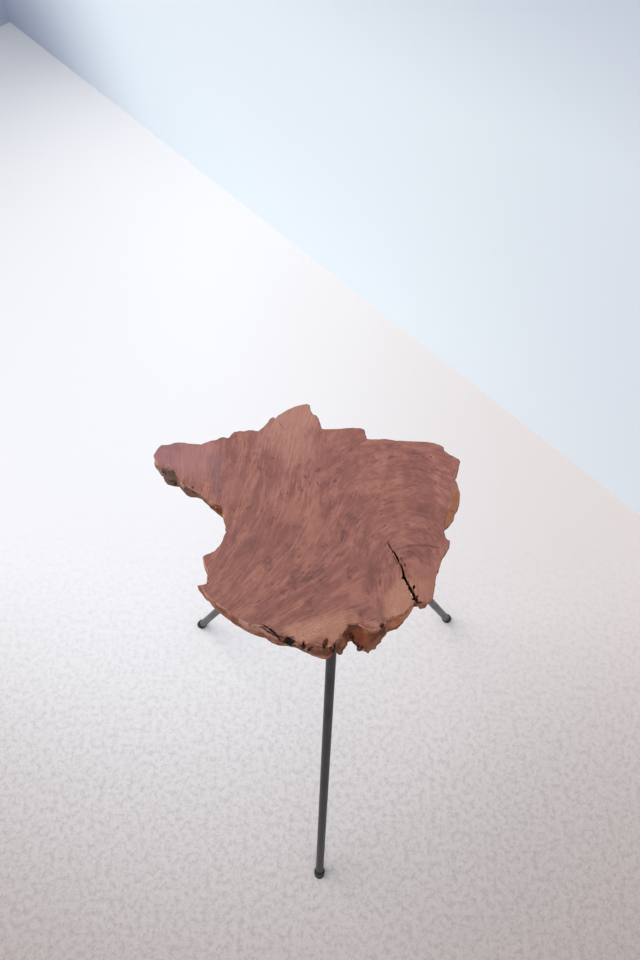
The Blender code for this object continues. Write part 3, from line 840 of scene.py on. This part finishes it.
def paint_grain(tree, place, by_heart, streak, band, fleck):
    """The red-brown of the sanded face, with its bands, mottle, streaks and flecks."""
    colour = blend_colours(tree, soft_step(tree, band, *BAND_RANGE), ORANGE_BROWN, PURPLE_BROWN)
    mottle = noise_at(tree, place, *MOTTLE_NOISE)
    fine_mottle = noise_at(tree, place, *FINE_MOTTLE_NOISE)
    calm = maths(tree, "MULTIPLY_ADD", by_heart, -HEART_CALM_SHARE, 1.0)
    colour = lay_where(tree, colour, RED_BROWN, mottle, MOTTLE_LAYER)
    colour = lay_where(tree, colour, PURPLE_BROWN, streak, DARK_STREAK_LAYER, calm)
    colour = lay_where(tree, colour, ORANGE_BROWN, streak, PALE_STREAK_LAYER, calm)
    colour = lay_where(tree, colour, PURPLE_BROWN, fine_mottle, FINE_MOTTLE_LAYER)
    cluster = noise_at(tree, place, *CLUSTER_NOISE)
    clusters = soft_step(tree, cluster, *CLUSTER_RANGE)
    return lay_where(tree, colour, FLECK_PURPLE, fleck, FLECK_LAYER, clusters)


def paint_marks(tree, place, colour, fleck):
    """The stains, dark flecks and paler parts that only this slice has, with painted sheen at its
    back and a painted reflection down its right.
    """
    ragged = warped(tree, warped(tree, place, *MARK_WANDER), *MARK_FRAY)
    for shares, tint in (
        (PINK_SHARES, TONGUE_PINK),
        # Partly the wood's own colour and partly painted sheen
        (PEAK_AND_SHEEN_SHARES, PEAK_TAN_AND_SHEEN),
        (ORANGE_SHARES, ORANGE_BROWN),
        (RED_SHARES, CRIMSON),
        (STAIN_SHARES, BLUE_STAIN),
        (FACET_SHARES, FACET_BROWN),
    ):
        colour = lay_over(tree, colour, tint, mark_mask(tree, ragged, shares), STAIN_STRENGTH)
    inputs = {"Value": fleck, "From Min": BREAK_RANGE[0], "From Max": BREAK_RANGE[1]}
    broken = add_node(tree, "MapRange", inputs).outputs["Result"]
    purple = maths(tree, "MULTIPLY", mark_mask(tree, ragged, PURPLE_SHARES), broken)
    colour = lay_over(tree, colour, FLECK_PURPLE, purple, DARK_MARK_STRENGTH)
    ring = mark_mask(tree, place, RING_SHARES)
    colour = lay_over(tree, colour, FLECK_PURPLE, ring, RING_STRENGTH)
    pale = mark_mask(tree, ragged, PALE_SHARES)
    colour = lay_over(tree, colour, PALE_TAN, pale, PALE_STRENGTH)
    colour = lay_over(tree, colour, WHITE_FLECK, mark_mask(tree, place, WHITE_FLECK_SHARES), 1.0)
    speckle = noise_at(tree, place, *GRIT_NOISE)
    gritty = mark_mask(tree, ragged, GRIT_SHARES)
    return lay_where(tree, colour, PALE_GRIT, speckle, GRIT_LAYER, gritty)


def paint_face(tree, place):
    """Colour of the oiled face, and the streaks for its bump."""
    bent = warped(tree, place, *GRAIN_WANDER)
    by_heart = mark_mask(tree, place, HEARTWOOD_SHARES)
    ways = (by_heart, flank_distance(tree, bent), heart_distance(tree, bent))
    streak = along_grain(tree, ways, place, STREAK_WIDTH, STREAK_LENGTH)
    band = along_grain(tree, ways, place, BAND_WIDTH, BAND_LENGTH)
    fleck = along_grain(tree, ways, place, FLECK_WIDTH, FLECK_LENGTH, HEART_FLECK_BROADER)
    colour = paint_grain(tree, place, by_heart, streak, band, fleck)
    colour = paint_marks(tree, place, colour, fleck)
    colour = lay_where(tree, colour, PURPLE_BROWN, streak, LOW_GRAIN_LAYER)
    # Painted shade: the face darkens towards the front, so that its back looks paler as under a sheen
    back = parts_of(tree, place)["Y"]
    start, end = [on_slab(0.5, share).y for share in FRONT_SHADE_SHARES]
    toward_front = soft_step(tree, back, start, end)
    return blend_colours(tree, toward_front, colour, FRONT_SHADE, "MULTIPLY"), streak


# The noises of the natural edge and its layers, in the same form
PATCH_NOISE = (75.0, 3.0, 0.5)
RIM_HIGHLIGHT_NOISE = (140.0, 3.0, 0.5)
PIT_NOISE = (230.0, 3.0, 0.7)
FIBRE_NOISE = (420.0, 4.0, 0.65)
PATCH_RANGE = (0.36, 0.64)
RIM_HIGHLIGHT_RANGE = (0.42, 0.60)
FIBRE_LAYER = (0.50, 0.70, 0.38)
PIT_LAYER = (0.56, 0.70, 0.80)

# From what height down the foot of the edge takes painted shade, how near the top its rim lies, and
# at which tilt to the front the rim takes a painted highlight and at which tilt to the back a painted
# shade
FOOT_SHADE_LAYER = (slab_low.z + 0.004, slab_low.z, 0.60)
RIM_RANGE = (slab_high.z - 0.0022, slab_high.z - 0.0006)
RIM_HIGHLIGHT_LAYER = (0.1, -0.2, 0.65)
RIM_SHADE_LAYER = (-0.1, 0.3, 0.60)


def paint_rim(tree, place, colour, height):
    """The rim of the natural edge: a painted highlight, broken up by noise, where it faces the front,
    and painted shade where it faces the back.
    """
    rim = soft_step(tree, height, *RIM_RANGE)
    highlight_breakup = soft_step(tree, noise_at(tree, place, *RIM_HIGHLIGHT_NOISE), *RIM_HIGHLIGHT_RANGE)
    tilt = add_node(tree, "TexCoord").outputs["Normal"]
    facing = parts_of(tree, tilt)["Y"]
    rim_highlight = maths(tree, "MULTIPLY", rim, highlight_breakup)
    # Painted highlight on the rim where it faces the front, and painted shade on it where it faces
    # the back
    colour = lay_where(tree, colour, RIM_TAN, facing, RIM_HIGHLIGHT_LAYER, rim_highlight)
    return lay_where(tree, colour, EDGE_DARK, facing, RIM_SHADE_LAYER, rim)


def paint_edge(tree, place):
    """Colour of the natural edge, and the fibres for its bump."""
    upright = vector_maths(tree, "MULTIPLY", place, (1.0, 1.0, FIBRE_DRAW))
    fibres = noise_at(tree, upright, *FIBRE_NOISE)
    patches = noise_at(tree, place, *PATCH_NOISE)
    pits = noise_at(tree, place, *PIT_NOISE)
    height = parts_of(tree, place)["Z"]
    ragged = warped(tree, place, *EDGE_WANDER)
    colour = blend_colours(tree, soft_step(tree, patches, *PATCH_RANGE), EDGE_BROWN, EDGE_RED)
    for shares, tint in (
        (EDGE_BROWN_SHARES, EDGE_BROWN),
        (EDGE_UMBER_SHARES, EDGE_UMBER),
        (EDGE_RUST_SHARES, EDGE_RUST),
        (EDGE_MAUVE_SHARES, EDGE_MAUVE),
        (EDGE_ORANGE_SHARES, EDGE_ORANGE),
        (EDGE_OLIVE_SHARES, EDGE_OLIVE),
        (EDGE_DARK_SHARES, EDGE_DARK),
        (EDGE_PALE_SHARES, RIM_TAN),
    ):
        colour = lay_over(tree, colour, tint, mark_mask(tree, ragged, shares), 1.0)
    colour = lay_where(tree, colour, EDGE_GREY, fibres, FIBRE_LAYER)
    colour = lay_where(tree, colour, EDGE_DARK, pits, PIT_LAYER)
    # Painted shade along the foot of the edge
    colour = lay_where(tree, colour, EDGE_DARK, height, FOOT_SHADE_LAYER)
    colour = paint_rim(tree, place, colour, height)
    # Painted shade inside the cracks, holes and hollows
    crack_shade = mark_mask(tree, warped(tree, place, *MARK_FRAY), CRACK_SHARES)
    return lay_over(tree, colour, CRACK_SHADE_BLACK, crack_shade, 1.0), fibres


# How rough the wood is, or between which values, how strongly it reflects, and how strong
# and how deep its bump is
FACE_ROUGHNESS = (0.42, 0.58)
FACE_SPECULAR = 0.4
FACE_BUMP = (0.35, 0.0005)
EDGE_ROUGHNESS = 0.85
EDGE_SPECULAR = 0.25
EDGE_BUMP = (0.6, 0.0008)


def add_bump(tree, shader, height, strength, depth):
    inputs = {"Height": height, "Strength": strength, "Distance": depth}
    bump = add_node(tree, "Bump", inputs)
    tree.links.new(bump.outputs["Normal"], shader.inputs["Normal"])


def vary_roughness(tree, shader, value, smoothest, roughest):
    inputs = {"Value": value, "To Min": smoothest, "To Max": roughest}
    varied = add_node(tree, "MapRange", inputs)
    tree.links.new(varied.outputs["Result"], shader.inputs["Roughness"])


def paint_sanded_faces():
    material, tree, shader = new_material("oiled_root_wood")
    colour, streak = paint_face(tree, object_place(tree))
    tree.links.new(colour, shader.inputs["Base Color"])
    vary_roughness(tree, shader, streak, *FACE_ROUGHNESS)
    shader.inputs["Specular IOR Level"].default_value = FACE_SPECULAR
    add_bump(tree, shader, streak, *FACE_BUMP)
    return material


def paint_natural_edge():
    material, tree, shader = new_material("natural_edge_wood")
    colour, fibres = paint_edge(tree, object_place(tree))
    tree.links.new(colour, shader.inputs["Base Color"])
    shader.inputs["Roughness"].default_value = EDGE_ROUGHNESS
    shader.inputs["Specular IOR Level"].default_value = EDGE_SPECULAR
    add_bump(tree, shader, fibres, *EDGE_BUMP)
    return material


slab.data.materials.append(paint_sanded_faces())
slab.data.materials.append(paint_natural_edge())
for polygon in slab.data.polygons:
    sunk = min(slab_high.z - polygon.center.z, polygon.center.z - slab_low.z)
    polygon.material_index = 0 if abs(polygon.normal.z) > SANDED_TILT and sunk < SANDED_DEPTH else 1
    polygon.use_smooth = abs(polygon.normal.z) < FLAT_TILT
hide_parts("slab_top")
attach(slab, "root")


# The tripod
# Three round steel rods, each mitred, welded to a round steel plate and splayed out to
# its foot. The steel is blackened with heat and oil, and duller and browner at the welds.

BLACK_STEEL = as_seen(50, 51, 52)
WORN_STEEL = as_seen(78, 78, 78)
WELD_STEEL = as_seen(70, 64, 60)
STEEL_NODES = ("leg_front", "leg_right", "leg_left", "mounting_plate")
WELD_NODES = ("weld_front", "weld_right", "weld_left")

# The two noises of an uneven finish: how many and how rough their details, at which
# levels each begins and is whole, the share of the finish that the fine one makes, and
# how strong its bump is
PATCH_DETAIL = (4.0, 0.6)
GRAIN_DETAIL = (3.0, 0.6)
PATCH_LEVELS = (0.35, 0.70)
GRAIN_LEVELS = (0.30, 0.70)
GRAIN_SHARE = 0.35
FINISH_BUMP = 0.4


def uneven_group():
    """Uneven finish, from 0 to 1: a fine grain laid over broad patches."""
    inputs = {"Place": "Vector", "Patch Scale": "Float", "Grain Scale": "Float"}
    group, taken, given = new_group("uneven_finish", inputs, {"Finish": "Float", "Grain": "Float"})
    place = taken["Place"]
    patches = noise_at(group, place, taken["Patch Scale"], *PATCH_DETAIL)
    grain = noise_at(group, place, taken["Grain Scale"], *GRAIN_DETAIL)
    fine = soft_step(group, grain, *GRAIN_LEVELS)
    broad = maths(group, "MULTIPLY", soft_step(group, patches, *PATCH_LEVELS), 1 - GRAIN_SHARE)
    group.links.new(maths(group, "MULTIPLY_ADD", fine, GRAIN_SHARE, broad), given["Finish"])
    group.links.new(fine, given["Grain"])
    return group


uneven_finish = uneven_group()


def paint_uneven(name, colours, metallic, roughness, scales, bump_depth):
    """A material whose colour and roughness wander between two values each."""
    material, tree, shader = new_material(name)
    inputs = {"Place": object_place(tree), "Patch Scale": scales[0], "Grain Scale": scales[1]}
    finish = add_node(tree, "Group", inputs, node_tree=uneven_finish)
    mixed = finish.outputs["Finish"]
    tree.links.new(blend_colours(tree, mixed, *colours), shader.inputs["Base Color"])
    vary_roughness(tree, shader, mixed, *roughness)
    shader.inputs["Metallic"].default_value = metallic
    add_bump(tree, shader, finish.outputs["Grain"], FINISH_BUMP, bump_depth)
    return material


def dress(names, material):
    """Gives the CAD nodes of these names a material."""
    for name in names:
        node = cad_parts[name]
        node.data.materials.clear()
        node.data.materials.append(material)


steel = paint_uneven(
    "blackened_steel",
    colours=(BLACK_STEEL, WORN_STEEL),
    metallic=0.55,
    roughness=(0.34, 0.55),
    scales=(30.0, 900.0),
    bump_depth=0.00005,
)
dress(STEEL_NODES, steel)
weld_steel = paint_uneven(
    "weld_bead",
    colours=(WELD_STEEL, BLACK_STEEL),
    metallic=0.6,
    roughness=(0.40, 0.65),
    scales=(160.0, 1200.0),
    bump_depth=0.0002,
)
dress(WELD_NODES, weld_steel)


# The screws
# Three countersunk wood screws with a cross recess, zinc plated, driven up through the
# plate into the slab with their heads flush with the plate's underside.

ZINC = as_seen(188, 188, 192)
ZINC_DULL = as_seen(150, 150, 152)
SCREW_NODES = ("screw_front_right", "screw_back", "screw_front_left")

zinc = paint_uneven(
    "zinc_plating",
    colours=(ZINC, ZINC_DULL),
    metallic=1.0,
    roughness=(0.25, 0.42),
    scales=(300.0, 2500.0),
    bump_depth=0.00003,
)
dress(SCREW_NODES, zinc)


# The foot caps
# Three moulded black rubber caps, pushed over the rods' ends and flat where they stand.

RUBBER = as_seen(34, 34, 35)
RUBBER_DUSTY = as_seen(58, 56, 54)
CAP_NODES = ("foot_cap_front", "foot_cap_right", "foot_cap_left")

rubber = paint_uneven(
    "black_rubber",
    colours=(RUBBER, RUBBER_DUSTY),
    metallic=0.0,
    roughness=(0.62, 0.85),
    scales=(120.0, 1500.0),
    bump_depth=0.00008,
)
dress(CAP_NODES, rubber)


# The room
# A pale short-pile carpet and a plain painted wall that runs off behind the table to
# the right, with the foot of a second wall at its far end. None is part of the table,
# and both walls are clear from behind, so that the table can be seen from every side.

CARPET_SIDE = 6.0
CARPET_COOL = as_seen(246, 243, 242)
CARPET_WARM = as_seen(226, 216, 211)
CARPET_NEAR_SHADE = as_seen(184, 171, 165)
CARPET_ROUGHNESS = 0.95
CARPET_SPECULAR = 0.1
PILE_DARK = as_seen(206, 202, 200)
PILE_NOISE = (130.0, 5.0, 0.75)
PILE_LEVELS = (0.42, 0.66)
PILE_STRENGTH = 0.5
PILE_BUMP = (0.5, 0.004)

# Between which places from left to right the carpet turns warm, between which ones from back to front
# it takes its painted shade and its pile comes clear, and how much earlier at the sides the shade
# comes
WARM_SPAN = (-0.30, 0.50)
NEAR_SHADE_SPAN = (0.20, -0.50)
PILE_SPAN = (0.45, -0.15)
NEAR_SHADE_BEND = 0.4

WALL_PAINT = as_seen(242, 250, 255)
WALL_SHADE = as_seen(181, 189, 207)
WALL_ROUGHNESS = 0.9
WALL_HEIGHT = 2.6
WALL_LENGTH = 8.0
WALL_FOOT_LEFT = Vector((-0.790, 1.716, 0.0))
WALL_FOOT_RIGHT = Vector((0.515, 0.362, 0.0))
END_WALL_LENGTH = 2.0
END_WALL_HEIGHT = 0.5

# How far from the corner and how high up the walls the shade begins and is whole, and
# how strong it is towards the near end
CORNER_SPAN = (0.60, 0.0)
NEAR_END_SPAN = (1.2, 2.2)
HIGH_SPAN = (0.40, 1.0)
NEAR_END_STRENGTH = 0.25


def flat_sheet(name, corners):
    mesh = bpy.data.meshes.new(name)
    mesh.from_pydata(corners, [], [range(len(corners))])
    sheet = new_object(name, mesh)
    return sheet


def lay_carpet():
    """The carpet: darker and warmer towards the front, where its pile shows; the darkening is painted
    shade.
    """
    half = CARPET_SIDE / 2
    corners = [(-half, -half, 0), (half, -half, 0), (half, half, 0), (-half, half, 0)]
    carpet = flat_sheet("carpet", corners)
    material, tree, shader = new_material("carpet")
    place = object_place(tree)
    parts = parts_of(tree, place)
    warmth = soft_step(tree, parts["X"], *WARM_SPAN)
    pale = blend_colours(tree, warmth, CARPET_COOL, CARPET_WARM)
    squared = maths(tree, "MULTIPLY", parts["X"], parts["X"])
    sideways = maths(tree, "MULTIPLY", squared, NEAR_SHADE_BEND)
    depth = maths(tree, "SUBTRACT", parts["Y"], sideways)
    # Painted shade towards the front of the carpet
    colour = blend_colours(tree, soft_step(tree, depth, *NEAR_SHADE_SPAN), pale, CARPET_NEAR_SHADE)
    tufts = noise_at(tree, place, *PILE_NOISE)
    clear = soft_step(tree, parts["Y"], *PILE_SPAN)
    tufted = maths(tree, "MULTIPLY", soft_step(tree, tufts, *PILE_LEVELS), clear)
    pile_share = maths(tree, "MULTIPLY", tufted, PILE_STRENGTH)
    colour = blend_colours(tree, pile_share, colour, PILE_DARK, "MULTIPLY")
    tree.links.new(colour, shader.inputs["Base Color"])
    shader.inputs["Roughness"].default_value = CARPET_ROUGHNESS
    shader.inputs["Specular IOR Level"].default_value = CARPET_SPECULAR
    add_bump(tree, shader, maths(tree, "MULTIPLY", tufts, clear), *PILE_BUMP)
    carpet.data.materials.append(material)


def raise_walls():
    """The long wall and the foot of the wall at its far end, both clear from behind."""
    along = (WALL_FOOT_RIGHT - WALL_FOOT_LEFT).normalized()
    across = Vector((along.y, -along.x, 0))
    start = WALL_FOOT_LEFT
    end = start + along * WALL_LENGTH
    rise = Vector((0, 0, WALL_HEIGHT))
    wall = flat_sheet("wall", [start, end, end + rise, start + rise])
    far = start + across * END_WALL_LENGTH
    end_rise = Vector((0, 0, END_WALL_HEIGHT))
    end_wall = flat_sheet("end_wall", [far, start, start + end_rise, far + end_rise])
    material, tree, shader = new_material("wall_paint")
    place = object_place(tree)
    distance = vector_maths(tree, "LENGTH", vector_maths(tree, "SUBTRACT", place, start))
    height = parts_of(tree, place)["Z"]
    corner = soft_step(tree, distance, *CORNER_SPAN)
    toward_end = soft_step(tree, distance, *NEAR_END_SPAN)
    near_end = maths(tree, "MULTIPLY", toward_end, NEAR_END_STRENGTH)
    ends = maths(tree, "MAXIMUM", corner, near_end)
    shade = maths(tree, "MAXIMUM", ends, soft_step(tree, height, *HIGH_SPAN))
    colour = blend_colours(tree, shade, WALL_PAINT, WALL_SHADE)
    tree.links.new(colour, shader.inputs["Base Color"])
    shader.inputs["Roughness"].default_value = WALL_ROUGHNESS
    behind = add_node(tree, "NewGeometry").outputs["Backfacing"]
    clear = add_node(tree, "BsdfTransparent").outputs[0]
    one_sided = add_node(tree, "MixShader", {0: behind, 1: shader.outputs[0], 2: clear})
    tree.links.new(one_sided.outputs[0], tree.nodes["Material Output"].inputs["Surface"])
    wall.data.materials.append(material)
    end_wall.data.materials.append(material)


lay_carpet()
raise_walls()


# The light and the camera
# Soft daylight from a wide window on the left and behind, and a camera held at standing
# height in front of the table, which looks down at it.

# The sun's spread, and the camera's pitch and roll, are in degrees
WORLD_COLOUR = as_seen(247, 250, 255)
WORLD_STRENGTH = 0.88
SUN_STRENGTH = 1.3
SUN_SPREAD = 50.0
SUN_FROM = Vector((-1.0, 0.45, 1.1))
CAMERA_FROM_AXIS = Vector((-0.01596, -0.32317, 1.2))
CAMERA_PITCH = 59.64
CAMERA_ROLL = 0.80
CAMERA_LENS = 31.125


def light_room():
    world = bpy.data.worlds.new("daylight")
    world.use_nodes = True
    background = world.node_tree.nodes["Background"]
    background.inputs["Color"].default_value = WORLD_COLOUR
    background.inputs["Strength"].default_value = WORLD_STRENGTH
    bpy.context.scene.world = world
    sun = bpy.data.lights.new("window", "SUN")
    sun.energy = SUN_STRENGTH
    sun.angle = math.radians(SUN_SPREAD)
    lamp = new_object("window", sun)
    lamp.rotation_euler = SUN_FROM.to_track_quat("Z", "Y").to_euler()


def place_camera():
    lens = bpy.data.cameras.new("camera")
    lens.lens = CAMERA_LENS
    camera = new_object("camera", lens)
    pitch = Matrix.Rotation(math.radians(90 - CAMERA_PITCH), 4, "X")
    roll = Matrix.Rotation(math.radians(CAMERA_ROLL), 4, "Z")
    stand = Vector((tripod_axis.x, tripod_axis.y, 0)) + CAMERA_FROM_AXIS
    camera.matrix_world = Matrix.Translation(stand) @ pitch @ roll
    bpy.context.scene.camera = camera


light_room()
place_camera()
bpy.context.scene.view_settings.view_transform = "Standard"
